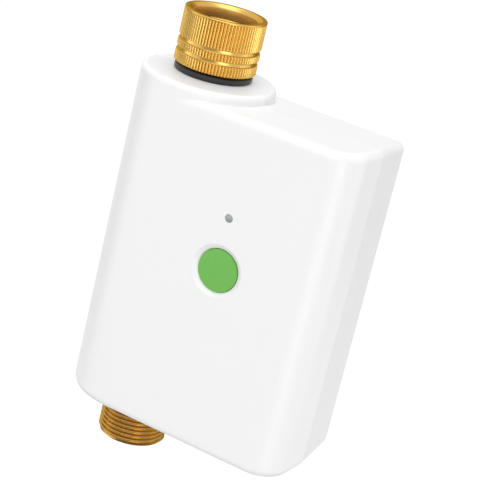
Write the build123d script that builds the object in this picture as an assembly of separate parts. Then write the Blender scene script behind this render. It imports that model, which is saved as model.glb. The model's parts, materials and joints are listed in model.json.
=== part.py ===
from build123d import *
import math
import os

# Smart water timer that screws onto a garden tap.
# Millimetres. X runs to the right of the front face, Y to the back, Z up.
# The origin is the centre of the inlet thread's mouth, so the timer hangs below it.

# Housing, seen from above: a round water column on the left and a flat box on the right
WALL = 2.6
COLUMN_R = 25.2
COLUMN_Y = -2.0
FRONT_Y = COLUMN_Y - COLUMN_R
BACK_Y = COLUMN_Y + COLUMN_R
PARTING_Y = -3.2
RIGHT_X = 74.3
FRONT_LEAN = 0.8
FRONT_CORNER_R = 12.0
EDGE_R = 3.0
BOSS_TOP = -23.1
BOSS_EDGE_R = 2.0
BOSS_WALL = 2.5
HOUSING_TOP = -26.7
HOUSING_BOTTOM = -152.7
COVER_TOP_DROP = 2.2
COVER_SIDE_DROP = 2.5
COVER_BOTTOM_RISE = 1.2
COVER_CORNER_R = 4.0
# The box's back face lies this much inside the column's rearmost line
BACK_STEP = 0.1
# Narrow step in the cover's rim, which shows the joint as a fine line
SEAM = 0.15
# Ribs across the water column that carry the valve body
SADDLE_Z = (-42.0, -134.0)
SADDLE_HALF = 1.0

# Gasket in the joint, with a ledge in front of it and the cover's tongue behind it
GASKET_X = (-22.2, RIGHT_X - WALL - 0.2)
GASKET_Z = (HOUSING_BOTTOM + WALL + 0.1, HOUSING_TOP - WALL - 0.1)
GASKET_WIDTH = 1.4
LEDGE_Y = PARTING_Y - 2.0
TONGUE_Y = PARTING_Y - 1.0
# The gasket stops at this radius round the inlet and the outlet
GASKET_GAP_R = 17.0

# Inlet: swivel nut for a G3/4 tap, spigot, washer and screen
NUT_R = 15.3
NUT_HEIGHT = 20.8
NUT_THREAD_R = 12.06
NUT_THREAD_LENGTH = 11.5
NUT_TEETH = 79
NUT_TOOTH_DEPTH = 0.5
NUT_GROOVE_DEPTH = 0.9
# A plain lip stands above the first knurled band, and a bevelled foot below the last one
NUT_LIP = 0.5
NUT_LIP_EDGE = 0.2
NUT_FOOT_BEVEL = 0.8
KNURL_BANDS = ((-NUT_LIP, -10.5), (-12.0, -14.6), (-16.1, -20.0))
SHOULDER_Z = -16.2
SPIGOT_R = 10.45
SPIGOT_BORE_R = 8.2
FLANGE_R = 11.9
FLANGE_TOP = -14.2
WASHER_TOP = -12.2
WASHER_HOLE_R = 7.4
SCREEN_Z = (-13.5, -13.1)
SCREEN_PITCH = 1.7
SCREEN_GAP = 1.1
SCREEN_FIELD_R = 6.2
COLLAR_R = 14.6
COLLAR_TOP = -NUT_HEIGHT - 0.12
NECK_R = 10.45
O_RING = 1.44
O_RING_GROOVE = 1.5
INLET_RING_Z = -46.0
OUTLET_RING_Z = -136.0

# Valve
VALVE_Z = -70.0
BALL_R = 9.0
PORT_R = 4.6
STEM_R = 3.0
STEM_GROOVES = (12.0, 15.0)
BODY_TUBE_R = 13.9
BODY_TOP = -26.2
CHAMBER_R = 16.4
CHAMBER_HALF = 15.0
PASSAGE_R = 6.5
STEM_HOUSING_R = 7.0
SEAT_R = 9.5
SEAT_IN = 6.0
SEAT_OUT = 11.0

# Outlet with the G3/4 male thread, plain at its major diameter
OUTLET_R = 13.22
OUTLET_BORE_R = 8.5
OUTLET_END = -171.4
OUTLET_TOP = HOUSING_BOTTOM + WALL
OUTLET_NECK_TOP = -130.0
OUTLET_RELIEF_R = 12.6
OUTLET_THREAD_TOP = HOUSING_BOTTOM - 1.0

# Button and light on the front face
BUTTON_X, BUTTON_Z = 33.0, -83.5
BUTTON_R = 8.0
BUTTON_DEPTH = 0.35
BUTTON_DOME = 0.45
BUTTON_RIM_R = 9.9
POST_R = 1.7
DISH_R = 10.1
DISH_DEPTH = 1.3
LIGHT_X, LIGHT_Z = 33.0, -63.1
LIGHT_R = 1.6
LIGHT_DEPTH = 0.15
LIGHT_DOME = 0.3

# Gears: one module, the ball's gear turns a quarter, the motor turns 31.5 times as far
MODULE = 0.6
PRESSURE = math.radians(20)
PINION_TEETH = 12
OUTPUT_TEETH = 42
WHEEL_TEETH = 36
BACKLASH = 0.16
SECOND_Z = VALVE_Z - MODULE * (OUTPUT_TEETH + PINION_TEETH) / 2
FIRST_Z = SECOND_Z - MODULE * (WHEEL_TEETH + PINION_TEETH) / 2
MOTOR_Z = FIRST_Z - MODULE * (WHEEL_TEETH + PINION_TEETH) / 2
LAYER_1 = (19.8, 22.6)
LAYER_2 = (23.2, 25.4)
LAYER_3 = (26.0, 28.2)
AXLE_R = 1.0
CAM_R = 7.0

# Gearbox
BOX_X = (17.6, 31.0)
BOX_Y = 15.5
BOX_Z = (-122.0, -54.0)
BOX_WALL = 1.6
BOX_SCREW_HEAD = 1.1
BOX_POSTS = [(y, z) for y in (-12.2, 12.2) for z in (-57.2, -118.8)]

# Motor
MOTOR_R = 10.0
MOTOR_FLAT = 7.5
MOTOR_X = (31.0, 51.0, 55.0)

# Circuit board
BOARD_X = (21.0, 69.0)
BOARD_Z = (-112.0, -50.0)
BOARD_Y = (-19.6, -18.0)
BOARD_POSTS = [(x, z) for x in (24.0, 66.0) for z in (-53.0, -109.0)]

# Battery bay with two layers of two AA cells
CELL_R = 7.2
CELL_LENGTH = 49.2
CELL_X = (40.2, 54.8)
CELL_Y = (-5.6, 9.2)
BAY_X = (32.6, 62.4)
BAY_Y = (-13.2, 17.4)
BAY_Z = (-99.0, -45.0)
BAY_WALL = 1.2
DOOR_DEPTH = 2.0
DOOR_SCREWS = [(47.5, -40.9), (47.5, -103.1)]

# Screws that hold the two shells together
SHELL_SCREWS = [(x, z) for x in (22.0, 61.0) for z in (-37.0, -145.0)]
SHELL_SCREW_HEAD_Y = 5.0
SHELL_POST_R = 3.4
COVER_POST_R = 3.6
SCREW_WELL_R = 2.8


def block(x, y, z):
    size = [b - a for a, b in (sorted(x), sorted(y), sorted(z))]
    middle = [(a + b) / 2 for a, b in (x, y, z)]
    return Pos(*middle) * Box(*size)


def rod_x(radius, x, y=0.0, z=0.0):
    return Pos(sum(x) / 2, y, z) * Rot(0, 90, 0) * Cylinder(radius, abs(x[1] - x[0]))


def rod_y(radius, y, x=0.0, z=0.0):
    return Pos(x, sum(y) / 2, z) * Rot(90, 0, 0) * Cylinder(radius, abs(y[1] - y[0]))


def rod_z(radius, z, x=0.0, y=0.0):
    return Pos(x, y, sum(z) / 2) * Cylinder(radius, abs(z[1] - z[0]))


def tube_z(outer, inner, z):
    return rod_z(outer, z) - rod_z(inner, z)


def turned(points):
    """Solid of revolution about Z from (radius, height) points."""
    profile = Plane.XZ * make_face(Polyline(*points, close=True))
    return revolve(profile, Axis.Z)


def o_ring(radius, thickness, z):
    return Pos(0, 0, z) * Torus(radius, thickness / 2)


def grow(span, amount):
    low, high = sorted(span)
    return (low - amount, high + amount)


def frame_y(x, z, width, y):
    """Rectangular ring in the XZ plane, width measured inwards."""
    return block(x, y, z) - block(grow(x, -width), y, grow(z, -width))


def save(part, name):
    os.makedirs("parts", exist_ok=True)
    part.label = name
    export_step(part, f"parts/{name}.step")


# Housing

def front_box(inset):
    """Front half of the flat box, drawn in by inset, with its large front corner."""
    right = RIGHT_X - inset
    front = FRONT_Y + inset
    corner = FRONT_CORNER_R - inset
    outline = make_face(Polyline(
        (0, front), (right - FRONT_LEAN, front), (right, PARTING_Y), (0, PARTING_Y), close=True))
    at_corner = outline.vertices().filter_by(lambda v: v.X > 1 and v.Y < front + 1)
    outline = fillet(at_corner, corner)
    height = HOUSING_TOP - HOUSING_BOTTOM - 2 * inset
    return Pos(0, 0, HOUSING_BOTTOM + inset) * extrude(outline, height)


def outer_rims(solid, levels, away_from):
    """Edges at the given heights that don't lie on the joint or the hidden left end."""
    def wanted(edge):
        middle = edge @ 0.5
        return (min(abs(middle.Z - level) for level in levels) < 0.01
                and abs(middle.Y - away_from) > 0.01 and middle.X > 0.01)
    return solid.edges().filter_by(wanted)


def water_column(inset, y_span):
    """Round part of the housing within y_span, with the boss round the inlet at its top."""
    column = rod_z(COLUMN_R - inset, (HOUSING_BOTTOM + inset, BOSS_TOP - inset), 0, COLUMN_Y)
    column = fillet(column.edges().filter_by(GeomType.CIRCLE).sort_by(Axis.Z)[-1], BOSS_EDGE_R - inset)
    column = fillet(column.edges().filter_by(GeomType.CIRCLE).sort_by(Axis.Z)[0], EDGE_R - inset)
    return column & block(grow((-COLUMN_R, COLUMN_R), 1), y_span, grow((HOUSING_BOTTOM, BOSS_TOP), 1))


def column_hollow():
    return rod_z(COLUMN_R - WALL, (HOUSING_BOTTOM + WALL, BOSS_TOP - BOSS_WALL), 0, COLUMN_Y)


def pipe_holes():
    """Holes in both shells for the spigot at the top and the outlet at the bottom."""
    top = rod_z(SPIGOT_R + 0.15, grow((BOSS_TOP - BOSS_WALL, BOSS_TOP), 1))
    bottom = rod_z(OUTLET_R + 0.3, grow((HOUSING_BOTTOM, HOUSING_BOTTOM + WALL), 1))
    return [top, bottom]


def front_outer():
    box = front_box(0)
    box = fillet(outer_rims(box, (HOUSING_TOP, HOUSING_BOTTOM), PARTING_Y), EDGE_R)
    return box + water_column(0, (FRONT_Y - 1, PARTING_Y))


def saddle(y_span, z):
    """Rib across the water column that carries the valve body."""
    over = 2 * SADDLE_HALF
    rib = rod_z(COLUMN_R - WALL + 0.2, (z - SADDLE_HALF, z + SADDLE_HALF), 0, COLUMN_Y)
    rib &= block((-COLUMN_R, COLUMN_R), y_span, (z - over, z + over))
    return rib - rod_z(BODY_TUBE_R + 0.05, (z - over, z + over))


def shell_ribs():
    """Stiffening ribs inside the front wall, between the board and the bottom."""
    root = FRONT_Y + WALL - 0.2
    ribs = [block((x, x + 1.4), (root, root + 3.2), (-148, -118)) for x in (34, 46, 58)]
    ribs.append(block((26, 66), (root, root + 2.2), (-132, -130.6)))
    return ribs


def front_shell():
    inner_front = FRONT_Y + WALL
    shell = front_outer() - front_box(WALL)
    shell -= column_hollow()
    for z in SADDLE_Z:
        shell += saddle((FRONT_Y, PARTING_Y), z)
    for rib in shell_ribs():
        shell += rib
    for x, z in SHELL_SCREWS:
        shell += rod_y(SHELL_POST_R, (inner_front - 0.2, PARTING_Y), x, z)
        shell -= rod_y(1.25, (-16, PARTING_Y), x, z)
    for x, z in BOARD_POSTS:
        shell += rod_y(2.2, (inner_front - 0.2, BOARD_Y[0]), x, z)
        shell -= rod_y(0.9, (inner_front + 1, BOARD_Y[0]), x, z)
    # Ledge that the gasket lies on, just inside the joint, with the tongue's way clear behind it
    shell -= frame_y(grow(GASKET_X, 0.1), grow(GASKET_Z, 0.05), GASKET_WIDTH + 0.2, (LEDGE_Y, PARTING_Y + 0.1))
    ledge = frame_y(grow(GASKET_X, 0.4), grow(GASKET_Z, 0.3), 2.0, (LEDGE_Y - 2, LEDGE_Y))
    shell += ledge - gasket_gap()
    for hole in pipe_holes():
        shell -= hole
    dish = Pos(BUTTON_X, FRONT_Y + DISH_DEPTH / 2, BUTTON_Z) * Rot(90, 0, 0) * Cone(
        BUTTON_R + 0.2, DISH_R, DISH_DEPTH)
    shell -= dish
    shell -= rod_y(BUTTON_R + 0.2, (FRONT_Y - 1, inner_front + 0.5), BUTTON_X, BUTTON_Z)
    shell -= rod_y(LIGHT_R, (FRONT_Y - 1, inner_front + 0.5), LIGHT_X, LIGHT_Z)
    return shell


def wedge(points, plane, length):
    """Prism over a triangle, used to slope a face."""
    return extrude(plane * make_face(Polyline(*points, close=True)), length)


def cover_box(inset):
    """Rear half of the flat box, tapering from the joint to the back face."""
    right, back = RIGHT_X - inset, BACK_Y - BACK_STEP - inset
    low, high = HOUSING_BOTTOM + inset, HOUSING_TOP - inset
    box = block((0, right), (PARTING_Y, back), (low, high))
    over = 1.0
    slopes = Plane.YZ.offset(-over)
    box -= wedge([(PARTING_Y, high), (back + over, high + over), (back + over, high - COVER_TOP_DROP)],
                 slopes, RIGHT_X + 2 * over)
    box -= wedge([(PARTING_Y, low), (back + over, low - over), (back + over, low + COVER_BOTTOM_RISE)],
                 slopes, RIGHT_X + 2 * over)
    box -= wedge([(right, PARTING_Y), (right + over, back + over), (right - COVER_SIDE_DROP, back + over)],
                 Plane.XY.offset(HOUSING_BOTTOM - over), HOUSING_TOP - HOUSING_BOTTOM + 2 * over)

    def back_corner(edge):
        middle = edge @ 0.5
        return middle.X > 60 and abs(middle.Y - back) < 0.01 and abs((edge % 0.5).Z) > 0.9
    return fillet(box.edges().filter_by(back_corner), COVER_CORNER_R - inset)


def cover_outer(inset):
    box = cover_box(inset)

    def rim(edge):
        middle = edge @ 0.5
        across = abs((edge % 0.5).Z) < 0.5
        return across and middle.X > 0.01 and middle.Y > PARTING_Y + 0.01
    box = fillet(box.edges().filter_by(rim), EDGE_R - inset)
    return box + water_column(inset, (PARTING_Y, BACK_Y + 1))


def seam_groove(outer):
    """Rim of the cover's outer form, next to the joint and one seam's width deep."""
    slab = block(grow((-COLUMN_R, RIGHT_X), 1), (PARTING_Y - 1, PARTING_Y + SEAM), grow((HOUSING_BOTTOM, BOSS_TOP), 1))
    return (outer & slab) - cover_outer(SEAM)


def door_outline(clearance):
    x = grow(BAY_X, 1.0 - clearance)
    z = grow(BAY_Z, 0.6 - clearance)
    plate = Pos(sum(x) / 2, sum(z) / 2) * RectangleRounded(x[1] - x[0], z[1] - z[0], 3)
    for sx, sz in DOOR_SCREWS:
        towards = 4 if sz > -70 else -4
        plate += Pos(sx, sz) * Circle(3.9 - clearance)
        plate += Pos(sx, sz - towards / 2) * Rectangle(2 * (3.9 - clearance), 4)
    return plate


def on_xz(sketch, y0, y1):
    """Sketch drawn as (x, z), made solid from y0 to y1."""
    return extrude(Plane.XZ.offset(-y0) * sketch, -(y1 - y0))


def bay_opening(clearance):
    x = grow(BAY_X, -0.6 - clearance)
    z = grow(BAY_Z, -1.0 - clearance)
    return Pos(sum(x) / 2, sum(z) / 2) * RectangleRounded(x[1] - x[0], z[1] - z[0], 2)


def gasket_gap():
    return rod_z(GASKET_GAP_R, grow((HOUSING_BOTTOM, BOSS_TOP), 5))


def rear_cover():
    outer = cover_outer(0)
    cover = outer - seam_groove(outer) - cover_box(WALL)
    cover -= column_hollow()
    for z in SADDLE_Z:
        cover += saddle((PARTING_Y, BACK_Y), z)
    # Tongue that presses the gasket
    tongue = frame_y(GASKET_X, GASKET_Z, GASKET_WIDTH, (TONGUE_Y, PARTING_Y + 4))
    cover += tongue - gasket_gap()
    for x, z in SHELL_SCREWS:
        cover += rod_y(COVER_POST_R, (PARTING_Y, BACK_Y - 1), x, z)
        cover -= rod_y(1.6, (PARTING_Y - 1, SHELL_SCREW_HEAD_Y), x, z)
        cover -= rod_y(SCREW_WELL_R, (SHELL_SCREW_HEAD_Y, BACK_Y + 1), x, z)
    # Collar between the door's seat and the battery holder
    cover += block(grow(BAY_X, BAY_WALL), (BAY_Y[1], BACK_Y - WALL + 0.2), grow(BAY_Z, BAY_WALL))
    for x, z in DOOR_SCREWS:
        cover += rod_y(2.7, (10, BACK_Y - WALL + 0.2), x, z)
    cover -= on_xz(bay_opening(0), BAY_Y[1] - 1, BACK_Y + 1)
    cover -= on_xz(door_outline(0), BACK_Y - DOOR_DEPTH, BACK_Y + 1)
    for x, z in DOOR_SCREWS:
        cover -= rod_y(0.95, (12, BACK_Y), x, z)
    for hole in pipe_holes():
        cover -= hole
    return cover


def cover_gasket():
    return frame_y(GASKET_X, GASKET_Z, GASKET_WIDTH, (LEDGE_Y, TONGUE_Y)) - gasket_gap()


def screw_y(x, z, head_r, head_y, head_h, shank_r, end_y, slot=0.5):
    """Pan-head screw along Y, its head at head_y towards the back, with a cross recess."""
    head = rod_y(head_r, (head_y, head_y + head_h), x, z)
    head = fillet(head.edges().filter_by(GeomType.CIRCLE).sort_by(Axis.Y)[-1], head_h * 0.45)
    for size in ((head_r, slot), (slot, head_r)):
        head -= Pos(x, head_y + head_h, z) * Box(size[0], head_h, size[1])
    return head + rod_y(shank_r, (end_y, head_y), x, z)


def battery_door():
    plate = on_xz(door_outline(0.15), BACK_Y - DOOR_DEPTH + 0.7, BACK_Y)
    skirt = on_xz(bay_opening(0.15), BACK_Y - 5, BACK_Y - DOOR_DEPTH + 0.7)
    core = bay_opening(1.4)
    door = plate + (skirt - on_xz(core, BACK_Y - 6, BACK_Y - DOOR_DEPTH + 0.7))
    top_edges = door.edges().filter_by(lambda e: min(v.Y for v in e.vertices()) > BACK_Y - 0.01)
    door = chamfer(top_edges, 0.4)
    # Three finger ribs near the lower end
    for z in (-88, -90.5, -93):
        door -= Pos(47.5, BACK_Y, z) * Box(14, 0.8, 1.0)
    for x, z in DOOR_SCREWS:
        door -= rod_y(1.15, (BACK_Y - 3, BACK_Y + 1), x, z)
        door -= rod_y(2.3, (BACK_Y - 0.9, BACK_Y + 1), x, z)
    return door


def door_gasket():
    y0 = BACK_Y - DOOR_DEPTH
    x, z = grow(BAY_X, 0.85), grow(BAY_Z, 0.45)
    outline = Pos(sum(x) / 2, sum(z) / 2) * RectangleRounded(x[1] - x[0], z[1] - z[0], 2.8)
    return on_xz(outline - bay_opening(-0.05), y0, y0 + 0.7)


# Inlet and outlet

def knurl(teeth, radius, depth, z):
    """Straight knurl: a ring of pointed teeth."""
    step = math.pi / teeth
    points = []
    for i in range(2 * teeth):
        r = radius - depth * (i % 2)
        points.append((r * math.cos(i * step), r * math.sin(i * step)))
    face = make_face(Polyline(*points, close=True))
    return Pos(0, 0, z[0]) * extrude(face, z[1] - z[0])


def inlet_nut():
    """Swivel nut: a plain lip, three knurled bands with two grooves between them, and a smooth foot."""
    core_r = NUT_R - NUT_GROOVE_DEPTH
    foot = KNURL_BANDS[-1][1]
    foot_r = NUT_R - NUT_TOOTH_DEPTH
    nut = turned([(0, 0), (NUT_R - NUT_LIP_EDGE, 0), (NUT_R, -NUT_LIP_EDGE), (NUT_R, -NUT_LIP),
                  (core_r, -NUT_LIP), (core_r, foot), (foot_r, foot),
                  (foot_r - NUT_FOOT_BEVEL, -NUT_HEIGHT), (0, -NUT_HEIGHT)])
    for high, low in KNURL_BANDS:
        nut += knurl(NUT_TEETH, NUT_R, NUT_TOOTH_DEPTH, (low, high))
    bore = turned([(0, 1), (NUT_THREAD_R, 1), (NUT_THREAD_R, -NUT_THREAD_LENGTH),
                   (13.0, -NUT_THREAD_LENGTH), (13.0, -13.4), (FLANGE_R + 0.1, -13.4),
                   (FLANGE_R + 0.1, SHOULDER_Z), (SPIGOT_R + 0.1, SHOULDER_Z),
                   (SPIGOT_R + 0.1, -NUT_HEIGHT - 1), (0, -NUT_HEIGHT - 1)])
    return nut - bore


def inlet_spigot():
    end_z = VALVE_Z + SEAT_OUT
    spigot = turned([(SPIGOT_BORE_R, FLANGE_TOP), (FLANGE_R, FLANGE_TOP), (FLANGE_R, SHOULDER_Z + 0.1),
                     (SPIGOT_R, SHOULDER_Z + 0.1), (SPIGOT_R, end_z + 2.1), (SEAT_R, end_z + 2.1),
                     (SEAT_R, end_z), (SPIGOT_BORE_R - 2.6, end_z), (SPIGOT_BORE_R, end_z + 4)])
    return spigot - ring_groove(SPIGOT_R, INLET_RING_Z)


def ring_groove(radius, z):
    """Groove for an O-ring, a little wider than the ring."""
    return tube_z(radius + 1, radius - O_RING_GROOVE, (z - 1, z + 1))


def filter_screen():
    disc = rod_z(WASHER_HOLE_R, SCREEN_Z)
    reach = math.ceil(SCREEN_FIELD_R / SCREEN_PITCH)
    for i in range(-reach, reach + 1):
        for j in range(-reach, reach + 1):
            if math.hypot(i, j) * SCREEN_PITCH < SCREEN_FIELD_R:
                disc -= Pos(i * SCREEN_PITCH, j * SCREEN_PITCH, sum(SCREEN_Z) / 2) * Box(SCREEN_GAP, SCREEN_GAP, 1)
    return disc


def outlet_nipple():
    top = OUTLET_NECK_TOP
    nipple = turned([(OUTLET_BORE_R, top), (NECK_R, top), (NECK_R, OUTLET_TOP), (OUTLET_RELIEF_R, OUTLET_TOP),
                     (OUTLET_RELIEF_R, OUTLET_THREAD_TOP), (OUTLET_R, OUTLET_THREAD_TOP),
                     (OUTLET_R, OUTLET_END + 1.0), (OUTLET_R - 1.0, OUTLET_END), (OUTLET_BORE_R, OUTLET_END)])
    return nipple - ring_groove(NECK_R, OUTLET_RING_Z)


# Valve

def valve_body():
    bottom = OUTLET_TOP + 0.05
    body = rod_z(BODY_TUBE_R, (bottom, BODY_TOP))
    body += rod_z(CHAMBER_R, (VALVE_Z - CHAMBER_HALF, VALVE_Z + CHAMBER_HALF))
    body += rod_x(STEM_HOUSING_R, (8, BOX_X[0]), 0, VALVE_Z)
    flange = block((BOX_X[0] - 2.0, BOX_X[0]), (-13.4, 13.4), (VALVE_Z - 9, VALVE_Z + 9))
    flange = fillet(flange.edges().filter_by(Axis.X), 4)
    body += flange
    # Waterway: spigot socket, seat pocket, narrow throat and nipple socket
    body -= rod_z(SPIGOT_R + 0.05, (VALVE_Z + SEAT_OUT + 2.05, BODY_TOP + 1))
    body -= rod_z(SEAT_R + 0.05, (VALVE_Z - SEAT_OUT, VALVE_Z + SEAT_OUT + 3))
    body -= rod_z(PASSAGE_R, (OUTLET_NECK_TOP - 1, VALVE_Z))
    body -= rod_z(NECK_R + 0.05, (bottom - 1, OUTLET_NECK_TOP + 0.1))
    body -= rod_x(STEM_R + 0.05, (6, BOX_X[0] + 1), 0, VALVE_Z)
    for y, z in flange_screw_places():
        body -= rod_x(1.2, (BOX_X[0] - 3, BOX_X[0] + 1), y, z)
    return body


def flange_screw_places():
    return [(y, VALVE_Z + dz) for y in (-10.6, 10.6) for dz in (-6.2, 6.2)]


def valve_ball():
    """Ball at rest with its port across the flow, which is closed."""
    ball = Pos(0, 0, VALVE_Z) * Sphere(BALL_R)
    ball -= rod_y(PORT_R, (-12, 12), 0, VALVE_Z)
    slot = Pos(BALL_R, 0, VALVE_Z) * Box(6, 3.2, 2 * BALL_R)
    return ball - slot


def ball_seat(side):
    z0 = VALVE_Z + side * SEAT_IN
    z1 = VALVE_Z + side * SEAT_OUT
    ring = tube_z(SEAT_R, PORT_R + 0.6, sorted((z0, z1)))
    return ring - Pos(0, 0, VALVE_Z) * Sphere(BALL_R + 0.03)


def valve_stem():
    stem = rod_x(STEM_R, (BALL_R + 0.4, LAYER_3[1]), 0, VALVE_Z)
    tang = block((6.2, BALL_R + 0.5), (-1.5, 1.5), (VALVE_Z - STEM_R + 0.5, VALVE_Z + STEM_R - 0.5))
    stem += tang
    flat = block((LAYER_1[0] - 0.4, LAYER_3[1] + 1), (2.2, 5), (VALVE_Z - 5, VALVE_Z + 5))
    stem -= flat
    for x in STEM_GROOVES:
        stem -= rod_x(STEM_R + 1, (x - 0.7, x + 0.7), 0, VALVE_Z) - rod_x(STEM_R - 1.0, (x - 1, x + 1), 0, VALVE_Z)
    return stem


def stem_o_rings():
    return [Pos(x, 0, VALVE_Z) * Rot(0, 90, 0) * Torus(STEM_R - 0.49, 0.49) for x in STEM_GROOVES]


# Gear train

def gear_face(teeth, addendum, dedendum, turn):
    """Involute gear outline, with a tooth centred at the angle turn."""
    pitch_r = MODULE * teeth / 2
    base_r = pitch_r * math.cos(PRESSURE)
    root_r = pitch_r - dedendum * MODULE
    tip_r = pitch_r + addendum * MODULE
    half_at_pitch = (math.pi * MODULE / 2 - BACKLASH) / 2 / pitch_r

    def half_angle(r):
        slope = math.acos(min(1.0, base_r / r))
        return half_at_pitch + (math.tan(PRESSURE) - PRESSURE) - (math.tan(slope) - slope)

    low_r = max(base_r, root_r + 0.05)
    flank = [root_r, low_r, (low_r + tip_r) / 2, tip_r]
    halves = [half_angle(low_r)] + [half_angle(r) for r in flank[1:]]
    points = []
    for i in range(teeth):
        middle = turn + 2 * math.pi * i / teeth
        side = [(r, middle - h) for r, h in zip(flank, halves)]
        side += [(r, middle + h) for r, h in zip(reversed(flank), reversed(halves))]
        points += [(r * math.cos(a), r * math.sin(a)) for r, a in side]
    return make_face(Polyline(*points, close=True))


def gear(teeth, layer, z, turn, pinion=False):
    face = gear_face(teeth, 1.0 if pinion else 0.75, 1.0 if pinion else 1.25, turn)
    plane = Plane(origin=(layer[0], 0, z), x_dir=(0, 1, 0), z_dir=(1, 0, 0))
    return extrude(plane * face, layer[1] - layer[0])


# Angles in the gears' plane: the next gear of the train lies straight down
DOWN = -math.pi / 2
UP = math.pi / 2


def output_gear():
    wheel = gear(OUTPUT_TEETH, LAYER_1, VALVE_Z, DOWN)
    wheel += rod_x(4.2, (LAYER_1[1], LAYER_3[0]), 0, VALVE_Z)
    # Cam that works the limit switches, its lobe towards the back when closed
    cam = rod_x(5.0, LAYER_3, 0, VALVE_Z)
    cam += block(LAYER_3, (0, 8), (VALVE_Z - 2.5, VALVE_Z + 2.5))
    wheel += cam & rod_x(CAM_R, grow(LAYER_3, 1), 0, VALVE_Z)
    bore = rod_x(STEM_R + 0.05, (LAYER_1[0] - 1, LAYER_3[1] + 1), 0, VALVE_Z)
    bore -= block((0, 40), (2.25, 5), (VALVE_Z - 5, VALVE_Z + 5))
    # Round windows that lighten the wheel
    for i in range(6):
        angle = i * math.pi / 3
        wheel -= rod_x(2.0, (LAYER_1[0] - 1, LAYER_1[1] + 0.01), 8.3 * math.cos(angle),
                       VALVE_Z + 8.3 * math.sin(angle))
    return wheel - bore


def compound_gear(z, pinion_layer, wheel_layer, hub):
    """Pinion above the wheel in mesh: it meets the gear above, its wheel meets the gear below."""
    part = gear(PINION_TEETH, pinion_layer, z, UP + math.pi / PINION_TEETH, pinion=True)
    part += gear(WHEEL_TEETH, wheel_layer, z, DOWN)
    for x in hub:
        part += rod_x(2.6, x, 0, z)
    return part - rod_x(AXLE_R + 0.05, (0, 40), 0, z)


def second_gear():
    return compound_gear(SECOND_Z, LAYER_1, LAYER_2, [(LAYER_1[1], LAYER_2[0]), (LAYER_2[1], 29.2)])


def first_gear():
    return compound_gear(FIRST_Z, LAYER_2, LAYER_3, [(19.4, LAYER_2[0]), (LAYER_2[1], LAYER_3[0])])


def motor_pinion():
    part = gear(PINION_TEETH, LAYER_3, MOTOR_Z, UP + math.pi / PINION_TEETH, pinion=True)
    return part - rod_x(AXLE_R, (0, 40), 0, MOTOR_Z)


def gear_axles():
    return [rod_x(AXLE_R, (18.2, 30.4), 0, z) for z in (SECOND_Z, FIRST_Z)]


def gearbox_outline(inset):
    width = 2 * (BOX_Y - inset)
    height = BOX_Z[1] - BOX_Z[0] - 2 * inset
    return RectangleRounded(width, height, 4 - inset)


def gearbox_slab(inset, x):
    middle = Plane(origin=(x[0], 0, sum(BOX_Z) / 2), x_dir=(0, 1, 0), z_dir=(1, 0, 0))
    return extrude(middle * gearbox_outline(inset), x[1] - x[0])


def gearbox_case():
    case = gearbox_slab(0, (BOX_X[0], BOX_X[1] - BOX_WALL))
    case -= gearbox_slab(BOX_WALL, (BOX_X[0] + BOX_WALL, BOX_X[1]))
    for y, z in BOX_POSTS:
        case += rod_x(2.0, (BOX_X[0], BOX_X[1] - BOX_WALL), y, z)
        case -= rod_x(0.9, (BOX_X[0] + 3, BOX_X[1]), y, z)
    case -= rod_x(STEM_R + 0.3, (0, 25), 0, VALVE_Z)
    for z in (SECOND_Z, FIRST_Z):
        case -= rod_x(AXLE_R + 0.02, (18.2, 25), 0, z)
    for y, z in flange_screw_places():
        case -= rod_x(1.0, (0, 25), y, z)
    return case


def gearbox_cover():
    plate = gearbox_slab(0, (BOX_X[1] - BOX_WALL, BOX_X[1]))
    for z in (SECOND_Z, FIRST_Z):
        plate -= rod_x(AXLE_R + 0.02, (20, 30.4), 0, z)
    plate -= rod_x(3.1, (20, 40), 0, MOTOR_Z)
    for y, z in BOX_POSTS:
        plate -= rod_x(1.0, (20, 40), y, z)
        plate -= rod_x(2.0, (BOX_X[1] - BOX_SCREW_HEAD, 40), y, z)
    for y in (-5.5, 5.5):
        plate -= rod_x(0.85, (20, 40), y, MOTOR_Z)
    return plate


def screw_x(y, z, head_r, head_x, head_h, shank_r, end_x):
    """Screw along X; its head stands from head_x, away from end_x."""
    away = 1 if head_x > end_x else -1
    head = rod_x(head_r, sorted((head_x, head_x + away * head_h)), y, z)
    head -= Pos(head_x + away * head_h, y, z) * Box(head_h, head_r * 1.1, 0.5)
    head -= Pos(head_x + away * head_h, y, z) * Box(head_h, 0.5, head_r * 1.1)
    return head + rod_x(shank_r, sorted((head_x, end_x)), y, z)


def limit_switches():
    """Two small switches round the cam, one for closed and one for open."""
    towards_back = block(LAYER_3, (7.8, 12.4), (VALVE_Z - 3.2, VALVE_Z + 3.2))
    towards_back += rod_y(0.5, (CAM_R + 0.15, 8), sum(LAYER_3) / 2, VALVE_Z)
    above = block(LAYER_3, (-3.2, 3.2), (VALVE_Z + 7.8, VALVE_Z + 12.4))
    above += rod_z(0.5, (VALVE_Z + CAM_R + 0.15, VALVE_Z + 8), sum(LAYER_3) / 2, 0)
    legs = [block((LAYER_3[1], BOX_X[1] - BOX_WALL), (9.6, 10.6), (VALVE_Z - 2, VALVE_Z + 2)),
            block((LAYER_3[1], BOX_X[1] - BOX_WALL), (-2, 2), (VALVE_Z + 9.6, VALVE_Z + 10.6))]
    return [towards_back + legs[0], above + legs[1]]


# Motor

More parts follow.
